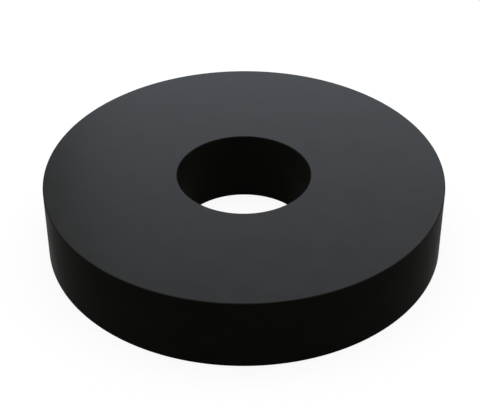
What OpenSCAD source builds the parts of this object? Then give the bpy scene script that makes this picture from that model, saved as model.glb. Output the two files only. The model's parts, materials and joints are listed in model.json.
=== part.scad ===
// Flat valve seat seal: one moulded rubber ring with a plain bore through it.
// The ring lies on its lower face, with the origin at the middle of that face
// and +Z along the bore.

/* [Ring] */
// Outside diameter, which sits inside the rim of the valve's seal holder
outer_d = 24; // [18:0.5:36]
// Bore diameter, which passes over the stud or screw of the seal holder
bore_d = 8; // [4:0.25:12]
// Thickness from the lower face to the sealing face
thickness = 4.5; // [2:0.25:9]
// Radius of the crisp edges where the faces meet the walls
edge_r = 0.05; // [0.02:0.01:0.4]

/* [Finish] */
// Colour of the black rubber
rubber_colour = "#2b2d2f"; // ["#2b2d2f":Black, "#4a4c4e":Grey, "#5a2f26":Red-brown]

/* [Hidden] */
$fn = 128;

outer_r = outer_d / 2;
bore_r = bore_d / 2;
band_w = outer_r - bore_r;

// Half section of the ring at its true distance from the bore axis: a rectangle
// with all four corners rounded to the edge radius
module ring_section() {
    translate([bore_r + edge_r, 0])
        square([band_w - 2 * edge_r, thickness]);
    translate([bore_r, edge_r])
        square([band_w, thickness - 2 * edge_r]);
    for (x = [bore_r + edge_r, outer_r - edge_r], z = [edge_r, thickness - edge_r])
        translate([x, z])
            circle(r = edge_r);
}

// The whole seal, turned about the bore axis as one solid
module seal_ring() {
    color(rubber_colour)
        rotate_extrude()
            ring_section();
}

seal_ring();
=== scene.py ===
"""Valve seat seal: one flat ring of black rubber, lying on a pale studio floor.

Metres throughout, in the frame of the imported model: the origin is at the middle of the
ring's lower face, +Z runs along the bore, and the camera looks along +Y.
"""

import json
import math

import bmesh
import bpy
from mathutils import Matrix, Vector


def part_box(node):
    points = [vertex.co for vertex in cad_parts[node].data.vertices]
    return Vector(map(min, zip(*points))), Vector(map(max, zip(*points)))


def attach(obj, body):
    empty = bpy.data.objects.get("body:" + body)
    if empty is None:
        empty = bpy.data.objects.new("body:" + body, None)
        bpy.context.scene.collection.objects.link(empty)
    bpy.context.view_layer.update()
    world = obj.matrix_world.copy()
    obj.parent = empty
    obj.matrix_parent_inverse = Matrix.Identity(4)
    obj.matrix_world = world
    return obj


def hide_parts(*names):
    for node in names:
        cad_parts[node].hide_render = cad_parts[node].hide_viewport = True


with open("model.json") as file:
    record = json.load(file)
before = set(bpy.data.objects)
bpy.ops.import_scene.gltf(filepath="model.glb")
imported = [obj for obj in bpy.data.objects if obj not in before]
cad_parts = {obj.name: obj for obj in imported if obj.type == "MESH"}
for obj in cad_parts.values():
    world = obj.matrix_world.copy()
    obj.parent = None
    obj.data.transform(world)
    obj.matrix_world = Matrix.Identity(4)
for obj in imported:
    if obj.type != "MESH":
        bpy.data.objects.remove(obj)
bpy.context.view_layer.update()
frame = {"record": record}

MM = 0.001
QUARTER_TURN = math.pi / 2
WHITE = (1.0, 1.0, 1.0)

# Mesh: steps round the ring, and along each part of its section
STEPS_AROUND = 288
EDGE_STEPS = 6
FACE_SPANS = 16
WALL_SPANS = 8

# Camera: it stands in front of the ring and looks down on it. Its focal length is in pixels
# of an image of the given width.
IMAGE_W = 480
CAM_FOCAL_PX = 1336.0
CAM_SENSOR_MM = 36.0
CAM_ELEVATION = math.radians(36.49)
CAM_DISTANCE = 81.5 * MM
CAM_ROLL = math.radians(-0.31)
CAM_AIM_RIGHT = -0.240 * MM
CAM_AIM_UP = -0.209 * MM
CAM_CLIP_NEAR, CAM_CLIP_FAR = 0.8 * MM, 20.0

# Rubber: the linear colours of its mottle, then the gloss, roughness and grain height of the
# smooth moulded faces, and those of the dull walls and edges
RUBBER_DARK = (0.0185, 0.0180, 0.0159, 1.0)
RUBBER_LIGHT = (0.0221, 0.0216, 0.0191, 1.0)
FACE_GLOSS = 0.3
FACE_ROUGHNESS = (0.20, 0.24)
FACE_GRAIN = 0.001 * MM
WALL_GLOSS = 0.002
WALL_ROUGHNESS = (0.34, 0.42)
WALL_GRAIN = 0.012 * MM

# Noise: its features' size and detail, and the range that most of its values lie in
MOTTLE_SIZE, MOTTLE_DETAIL = 1.6 * MM, 4.0
GRAIN_SIZE, GRAIN_DETAIL = 0.12 * MM, 2.0
NOISE_MIDDLE = (0.3, 0.7)

# Floor: half its width, its grey, and the glow that makes it white where it is seen. The glow
# rises away from the ring, because less of the panels' light falls there.
FLOOR_HALF = 2.0
FLOOR_GREY = (0.15, 0.15, 0.15, 1.0)
FLOOR_GLOW = (0.90, 1.0)
FLOOR_GLOW_REACH = (40 * MM, 300 * MM)

# Light: a dim room that is white at its horizon where it is seen, a cool softbox behind the
# ring that fades towards its top, and a panel overhead that fades towards the front.
# Radiances are shares of the white floor's, and a panel's run from its foot or front. The
# horizon fades between two heights, each the sine of the angle above the floor.
ROOM_RADIANCE = 0.10
HORIZON_RADIANCE = 1.0
HORIZON_FADE = (math.sin(math.radians(10)), math.sin(math.radians(20)))
SOFTBOX_LEFT, SOFTBOX_RIGHT = -34.5 * MM, 105 * MM
SOFTBOX_FOOT, SOFTBOX_TOP = 45 * MM, 195 * MM
SOFTBOX_BEHIND = 150 * MM
SOFTBOX_COLOUR = (0.769, 0.863, 1.0)
SOFTBOX_RADIANCES = (1.58, 0.0)
OVERHEAD_HEIGHT = 200 * MM
OVERHEAD_W, OVERHEAD_D = 360 * MM, 200 * MM
OVERHEAD_RADIANCES = (0.8, 2.6)


class Ring:
    """The ring's sizes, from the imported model's box and mounts."""

    low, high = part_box("seal_ring")
    mounts = {mount["name"]: mount["dims"] for mount in frame["record"]["mounts"]}
    outer_r = mounts["outer_rim"]["r_mm"] * MM
    bore_r = mounts["bore"]["r_mm"] * MM
    thickness = high.z - low.z
    edge_r = (thickness - mounts["bore"]["length_mm"] * MM) / 2


def between(a, b, spans):
    """Evenly spaced points from a up to, and without, b."""
    return [a.lerp(b, i / spans) for i in range(spans)]


def ring_section():
    """The ring's half section, anticlockwise: [(point as (r, z), normal as (r, z), is dull)]."""
    inner, outer = Ring.bore_r + Ring.edge_r, Ring.outer_r - Ring.edge_r
    lower, upper = Ring.edge_r, Ring.thickness - Ring.edge_r
    corners = [Vector(c) for c in ((outer, lower), (outer, upper), (inner, upper), (inner, lower))]
    section = []
    for i, centre in enumerate(corners):
        for step in range(EDGE_STEPS):
            angle = QUARTER_TURN * (i - 1 + step / EDGE_STEPS)
            normal = Vector((math.cos(angle), math.sin(angle)))
            section.append((centre + normal * Ring.edge_r, normal, True))
        normal = Vector((round(math.cos(QUARTER_TURN * i)), round(math.sin(QUARTER_TURN * i))))
        is_wall = i % 2 == 0
        ends = [corner + normal * Ring.edge_r for corner in (centre, corners[(i + 1) % len(corners)])]
        for point in between(*ends, WALL_SPANS if is_wall else FACE_SPANS):
            section.append((point, normal, is_wall))
    return section


def make_ring():
    """The section turned about the bore axis, as clean quads with true normals.

    The first material is for the two faces, and the second for the walls and edges.
    """
    section = ring_section()
    mesh = bpy.data.meshes.new("rubber_ring")
    bm = bmesh.new()
    normals, loops = [], []
    for step in range(STEPS_AROUND):
        angle = 2 * math.pi * step / STEPS_AROUND
        c, s = math.cos(angle), math.sin(angle)
        loops.append([bm.verts.new((p.x * c, p.x * s, p.y)) for p, _, _ in section])
        normals += [(n.x * c, n.x * s, n.y) for _, n, _ in section]
    for step, loop in enumerate(loops):
        following = loops[(step + 1) % STEPS_AROUND]
        for i, (_, _, is_dull) in enumerate(section):
            j = (i + 1) % len(section)
            face = bm.faces.new((loop[i], following[i], following[j], loop[j]))
            face.smooth = True
            face.material_index = 1 if is_dull else 0
    bm.to_mesh(mesh)
    bm.free()
    mesh.normals_split_custom_set_from_vertices(normals)
    mesh.materials.append(rubber("rubber_faces", FACE_GLOSS, FACE_ROUGHNESS, FACE_GRAIN))
    mesh.materials.append(rubber("rubber_walls", WALL_GLOSS, WALL_ROUGHNESS, WALL_GRAIN))
    ring = bpy.data.objects.new("rubber_ring", mesh)
    bpy.context.scene.collection.objects.link(ring)
    return ring


def new_material(name):
    """An empty node material: (material, its nodes, its links)."""
    material = bpy.data.materials.new(name)
    material.use_nodes = True
    material.node_tree.nodes.clear()
    return material, material.node_tree.nodes, material.node_tree.links


def add_noise(nodes, links, place, size, detail):
    """Noise with features of about the given size."""
    node = nodes.new("ShaderNodeTexNoise")
    node.inputs["Scale"].default_value = 1 / size
    node.inputs["Detail"].default_value = detail
    links.new(place, node.inputs["Vector"])
    return node.outputs["Fac"]


def add_map(nodes, links, value, places, levels, run="LINEAR"):
    """A level that runs from the first to the second as a value passes between two places."""
    node = nodes.new("ShaderNodeMapRange")
    node.interpolation_type = run
    node.inputs["From Min"].default_value, node.inputs["From Max"].default_value = places
    node.inputs["To Min"].default_value, node.inputs["To Max"].default_value = levels
    links.new(value, node.inputs["Value"])
    return node.outputs["Result"]


def add_math(nodes, links, operation, first, second):
    """The result of one operation on two values."""
    node = nodes.new("ShaderNodeMath")
    node.operation = operation
    links.new(first, node.inputs[0])
    links.new(second, node.inputs[1])
    return node.outputs["Value"]


def add_seen(nodes, links):
    """One for a ray from the camera, a mirror or glass, and nothing for one that gathers light."""
    rays = nodes.new("ShaderNodeLightPath").outputs
    passed_on = add_math(nodes, links, "MAXIMUM", rays["Is Glossy Ray"], rays["Is Transmission Ray"])
    return add_math(nodes, links, "MAXIMUM", rays["Is Camera Ray"], passed_on)


def rubber(name, gloss, roughness, grain_height):
    """Black rubber with a faint mottle, uneven gloss and a fine grain."""
    material, nodes, links = new_material(name)
    place = nodes.new("ShaderNodeTexCoord").outputs["Object"]
    mottle = add_noise(nodes, links, place, MOTTLE_SIZE, MOTTLE_DETAIL)
    grain = add_noise(nodes, links, place, GRAIN_SIZE, GRAIN_DETAIL)

    colour = nodes.new("ShaderNodeMix")
    colour.data_type = "RGBA"
    colour.inputs["A"].default_value = RUBBER_DARK
    colour.inputs["B"].default_value = RUBBER_LIGHT
    links.new(add_map(nodes, links, mottle, NOISE_MIDDLE, (0.0, 1.0)), colour.inputs["Factor"])

    bump = nodes.new("ShaderNodeBump")
    bump.inputs["Distance"].default_value = grain_height
    links.new(grain, bump.inputs["Height"])

    shader = nodes.new("ShaderNodeBsdfPrincipled")
    shader.inputs["Specular IOR Level"].default_value = gloss
    links.new(colour.outputs["Result"], shader.inputs["Base Color"])
    links.new(add_map(nodes, links, mottle, NOISE_MIDDLE, roughness), shader.inputs["Roughness"])
    links.new(bump.outputs["Normal"], shader.inputs["Normal"])
    links.new(shader.outputs["BSDF"], nodes.new("ShaderNodeOutputMaterial").inputs["Surface"])
    return material


def floor_material():
    """Grey, with the ring's soft shadow, and lit up to white where it is seen."""
    material, nodes, links = new_material("studio_floor")
    away = nodes.new("ShaderNodeVectorMath")
    away.operation = "LENGTH"
    links.new(nodes.new("ShaderNodeTexCoord").outputs["Object"], away.inputs[0])
    level = add_map(nodes, links, away.outputs["Value"], FLOOR_GLOW_REACH, FLOOR_GLOW, "SMOOTHSTEP")

    glow = nodes.new("ShaderNodeEmission")
    links.new(add_math(nodes, links, "MULTIPLY", level, add_seen(nodes, links)), glow.inputs["Strength"])
    grey = nodes.new("ShaderNodeBsdfDiffuse")
    grey.inputs["Color"].default_value = FLOOR_GREY
    both = nodes.new("ShaderNodeAddShader")
    links.new(glow.outputs["Emission"], both.inputs[0])
    links.new(grey.outputs["BSDF"], both.inputs[1])
    links.new(both.outputs["Shader"], nodes.new("ShaderNodeOutputMaterial").inputs["Surface"])
    return material


def make_floor():
    """A plain level floor under the ring."""
    mesh = bpy.data.meshes.new("floor")
    corners = [(x * FLOOR_HALF, y * FLOOR_HALF, 0.0) for x, y in ((-1, -1), (1, -1), (1, 1), (-1, 1))]
    mesh.from_pydata(corners, [], [(0, 1, 2, 3)])
    mesh.materials.append(floor_material())
    floor = bpy.data.objects.new("floor", mesh)
    bpy.context.scene.collection.objects.link(floor)


def make_room():
    """A dim even light from all round, with a white horizon where it is seen."""
    world = bpy.data.worlds.new("studio_room")
    world.use_nodes = True
    nodes, links = world.node_tree.nodes, world.node_tree.links
    height = nodes.new("ShaderNodeSeparateXYZ")
    links.new(nodes.new("ShaderNodeTexCoord").outputs["Generated"], height.inputs["Vector"])
    levels = HORIZON_RADIANCE, ROOM_RADIANCE
    horizon = add_map(nodes, links, height.outputs["Z"], HORIZON_FADE, levels, "SMOOTHSTEP")

    radiance = nodes.new("ShaderNodeMix")
    radiance.inputs["A"].default_value = ROOM_RADIANCE
    links.new(add_seen(nodes, links), radiance.inputs["Factor"])
    links.new(horizon, radiance.inputs["B"])
    background = nodes["Background"]
    background.inputs["Color"].default_value = (*WHITE, 1.0)
    links.new(radiance.outputs["Result"], background.inputs["Strength"])
    bpy.context.scene.world = world


def add_panel(name, place, facing, size, radiances, colour=WHITE):
    """A soft light panel that isn't in view itself.

    Its radiance runs evenly from its foot or front edge to the edge across from it.
    """
    light = bpy.data.lights.new(name, "AREA")
    light.shape = "RECTANGLE"
    light.size, light.size_y = size
    # At this power the panel's radiance is its emission strength
    light.energy = math.pi * light.size * light.size_y
    light.color = colour
    light.use_nodes = True
    nodes, links = light.node_tree.nodes, light.node_tree.links
    across = nodes.new("ShaderNodeSeparateXYZ")
    links.new(nodes.new("ShaderNodeNewGeometry").outputs["Parametric"], across.inputs["Vector"])
    level = add_map(nodes, links, across.outputs["Y"], (0.0, 1.0), radiances)
    links.new(level, nodes["Emission"].inputs["Strength"])

    panel = bpy.data.objects.new(name, light)
    panel.location = place
    panel.rotation_euler = facing.to_track_quat("-Z", "Y").to_euler()
    panel.visible_camera = False
    bpy.context.scene.collection.objects.link(panel)


def make_lights():
    """The softbox behind the ring, which its upper face mirrors, and the panel overhead."""
    forwards, down = Vector((0.0, -1.0, 0.0)), Vector((0.0, 0.0, -1.0))
    size = SOFTBOX_RIGHT - SOFTBOX_LEFT, SOFTBOX_TOP - SOFTBOX_FOOT
    place = Vector((SOFTBOX_LEFT + size[0] / 2, SOFTBOX_BEHIND, SOFTBOX_FOOT + size[1] / 2))
    add_panel("softbox", place, forwards, size, SOFTBOX_RADIANCES, SOFTBOX_COLOUR)
    place = Vector((0.0, 0.0, OVERHEAD_HEIGHT))
    add_panel("overhead", place, down, (OVERHEAD_W, OVERHEAD_D), OVERHEAD_RADIANCES)


def make_camera():
    """A long lens that looks down on the ring, turned and aimed as the picture is framed."""
    back = Vector((0.0, -math.cos(CAM_ELEVATION), math.sin(CAM_ELEVATION)))
    level = Vector((1.0, 0.0, 0.0))
    roll = Matrix.Rotation(CAM_ROLL, 3, back)
    right, up = roll @ level, roll @ back.cross(level)
    middle = Vector((0.0, 0.0, Ring.thickness / 2))
    place = middle + right * CAM_AIM_RIGHT + up * CAM_AIM_UP + back * CAM_DISTANCE

    data = bpy.data.cameras.new("camera")
    data.sensor_fit = "HORIZONTAL"
    data.sensor_width = CAM_SENSOR_MM
    data.lens = CAM_FOCAL_PX * CAM_SENSOR_MM / IMAGE_W
    data.clip_start, data.clip_end = CAM_CLIP_NEAR, CAM_CLIP_FAR
    camera = bpy.data.objects.new("camera", data)
    camera.matrix_world = Matrix.Translation(place) @ Matrix((right, up, back)).transposed().to_4x4()
    bpy.context.scene.collection.objects.link(camera)
    bpy.context.scene.camera = camera


make_camera()
ring = make_ring()
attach(ring, "root")
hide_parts("seal_ring")

make_floor()
make_room()
make_lights()
bpy.context.scene.view_settings.view_transform = "Standard"
